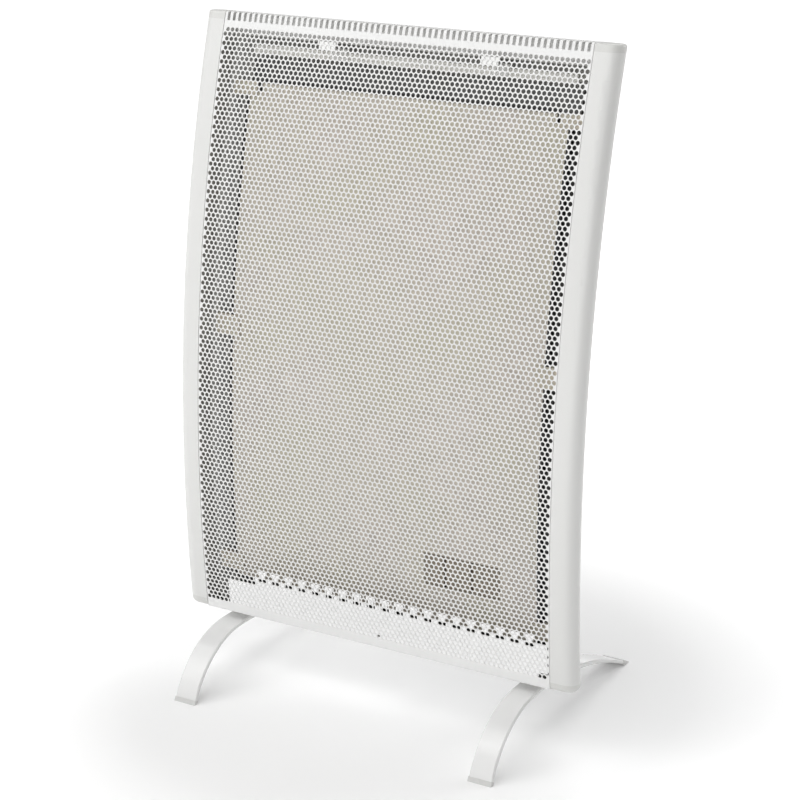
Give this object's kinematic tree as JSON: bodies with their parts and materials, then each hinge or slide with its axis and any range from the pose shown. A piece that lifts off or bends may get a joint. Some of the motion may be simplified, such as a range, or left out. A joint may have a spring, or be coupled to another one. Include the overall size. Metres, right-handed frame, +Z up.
{
  "type": "mica panel heater",
  "caption": "Free-standing radiant panel heater: a bowed, perforated white front between side posts, leaning back on arched strip feet, with a control box behind.",
  "frame": {"origin": "on the floor, under the middle of the heater's overall box", "axes": "+Z up, +Y from the perforated front towards the back, +X to the right of someone facing the front"},
  "size_m": [0.4684, 0.3279, 0.7083],
  "materials": {
    "sheet_paint": "white powder coat",
    "post_paint": "satin pale grey-white",
    "cap_plastic": "satin pale grey-white moulding",
    "foot_paint": "glossy white paint",
    "foot_tip_plastic": "white moulding",
    "mica": "pale warm grey pressed mica",
    "ribbon": "resistance alloy",
    "zinc_steel": "zinc plated",
    "dark_steel": "blackened steel",
    "reflector_sheet": "dull rolled sheet",
    "ceramic": "cream steatite",
    "block_ceramic": "grey-brown steatite",
    "box_plastic": "fine textured pale grey",
    "fascia_plastic": "mid grey panel",
    "dark_plastic": "dark grey moulding",
    "knob_plastic": "pale moulding",
    "lamp_lens": "amber lens",
    "gland_plastic": "dark grey nylon",
    "wire_sleeve": "glass-braid sleeve",
    "grommet_rubber": "black rubber"
  },
  "bodies": {
    "heater": {"left_post": "post_paint", "right_post": "post_paint", "left_post_top_cap": "cap_plastic", "left_post_bottom_cap": "cap_plastic", "right_post_top_cap": "cap_plastic", "right_post_bottom_cap": "cap_plastic", "front_grille": "sheet_paint", "back_cover": "sheet_paint", "base_plate": "sheet_paint", "lower_shield": "sheet_paint", "top_rail": "sheet_paint", "grille_clips": "cap_plastic", "mica_front_sheet": "mica", "mica_back_sheet": "mica", "heating_ribbon": "ribbon", "left_element_channel": "dark_steel", "right_element_channel": "dark_steel", "element_top_bar": "dark_steel", "element_bottom_bar": "dark_steel", "element_brackets": "ceramic", "terminal_block": "block_ceramic", "reflector": "reflector_sheet", "thermal_cutout": "dark_plastic", "lead_wires": "wire_sleeve", "lead_grommet": "grommet_rubber", "control_box": "box_plastic", "control_fascia": "fascia_plastic", "thermostat": "dark_plastic", "low_heat_switch_housing": "dark_plastic", "high_heat_switch_housing": "dark_plastic", "indicator_lamp": "lamp_lens", "tip_switch_bracket": "zinc_steel", "tip_switch_pin": "zinc_steel", "cord_gland": "gland_plastic", "carry_handle": "cap_plastic", "left_foot": "foot_paint", "right_foot": "foot_paint", "front_foot_tips": "foot_tip_plastic", "back_foot_tips": "foot_tip_plastic", "left_foot_saddle": "cap_plastic", "right_foot_saddle": "cap_plastic", "foot_screws": "zinc_steel", "post_screws": "zinc_steel", "rail_screws": "zinc_steel", "box_screws": "zinc_steel", "handle_screws": "zinc_steel"},
    "thermostat_knob_and_shaft": {"thermostat_knob": "knob_plastic", "thermostat_shaft": "zinc_steel"},
    "low_heat_rocker_body": {"low_heat_rocker": "knob_plastic"},
    "high_heat_rocker_body": {"high_heat_rocker": "knob_plastic"},
    "tip_pendulum": {"tip_switch_pendulum": "zinc_steel"}
  },
  "joints": [
    {"name": "thermostat_turn", "type": "hinge", "parent": "heater", "child": "thermostat_knob_and_shaft", "pos_m": [0.072, 0.02418, 0.13133], "axis": [0, 0.9947, -0.1028], "range_deg": [-135, 135]},
    {"name": "low_heat_rock", "type": "hinge", "parent": "heater", "child": "low_heat_rocker_body", "pos_m": [0.118, 0.01573, 0.1322], "axis": [1, 0, 0], "range_deg": [0, 18]},
    {"name": "high_heat_rock", "type": "hinge", "parent": "heater", "child": "high_heat_rocker_body", "pos_m": [0.152, 0.01573, 0.1322], "axis": [1, 0, 0], "range_deg": [0, 18]},
    {"name": "tip_pendulum_swing", "type": "hinge", "parent": "heater", "child": "tip_pendulum", "pos_m": [0.048, -0.01068, 0.10628], "axis": [1, 0, 0], "range_deg": [-20, 20]}
  ]
}
